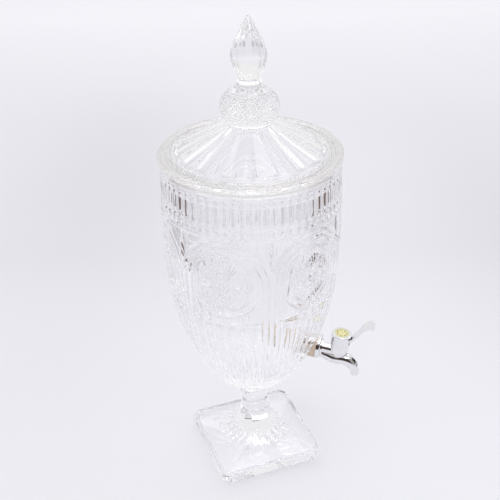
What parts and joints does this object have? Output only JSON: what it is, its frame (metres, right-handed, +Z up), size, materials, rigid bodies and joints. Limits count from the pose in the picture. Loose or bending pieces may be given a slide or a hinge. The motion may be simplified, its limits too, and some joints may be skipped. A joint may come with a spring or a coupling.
{
  "type": "drink dispenser jug",
  "caption": "Tall pressed-glass drink dispenser on a square pedestal foot, with a loose fluted lid, a flame finial and a chromed press-lever tap.",
  "frame": {"origin": "middle of the foot's flat underside, on the table", "axes": "+Z up through the lid's finial, +X towards the tap, +Y completes the right-handed set"},
  "size_m": [0.2184, 0.1772, 0.4926],
  "materials": {
    "clear_glass": "polished clear pressed glass",
    "tap_chrome": "bright chrome plate",
    "disc_plastic": "pale yellow gloss",
    "pin_steel": "plain stainless steel",
    "white_plastic": "off-white moulded",
    "black_rubber": "satin black",
    "beige_silicone": "beige silicone, satin"
  },
  "bodies": {
    "jug": {"glass_bowl": "clear_glass", "pedestal_foot": "clear_glass", "tap_body": "tap_chrome", "tap_cap": "tap_chrome", "cap_disc": "disc_plastic", "lever_pin": "pin_steel", "stem_guide": "white_plastic", "guide_o_ring": "black_rubber", "outer_wedge_seal": "beige_silicone", "inner_wedge_seal": "beige_silicone", "slip_washer": "white_plastic", "fixing_nut": "white_plastic", "valve_spring": "pin_steel"},
    "lid": {"glass_lid": "clear_glass", "lid_finial": "clear_glass"},
    "lever": {"tap_lever": "tap_chrome"},
    "valve": {"valve_stem": "pin_steel", "valve_cup_seal": "beige_silicone"}
  },
  "joints": [
    {"name": "lid_lift", "type": "slide", "parent": "jug", "child": "lid", "axis": [0, 0, 1], "range_m": [0, 0.12]},
    {"name": "lever_press", "type": "hinge", "parent": "jug", "child": "lever", "pos_m": [0.1014, 0, 0.16169], "axis": [0, 1, 0], "range_deg": [0, 18], "stiffness_Nm_per_rad": 0.3, "springref_deg": -17.19},
    {"name": "valve_lift", "type": "slide", "parent": "jug", "child": "valve", "axis": [0.0872, 0, 0.9962], "range_m": [0, 0.0022], "deforming": ["valve_spring"]}
  ],
  "couplings": [
    {"joint": "valve_lift", "follows": "lever_press", "m_per_rad": 0.007}
  ]
}
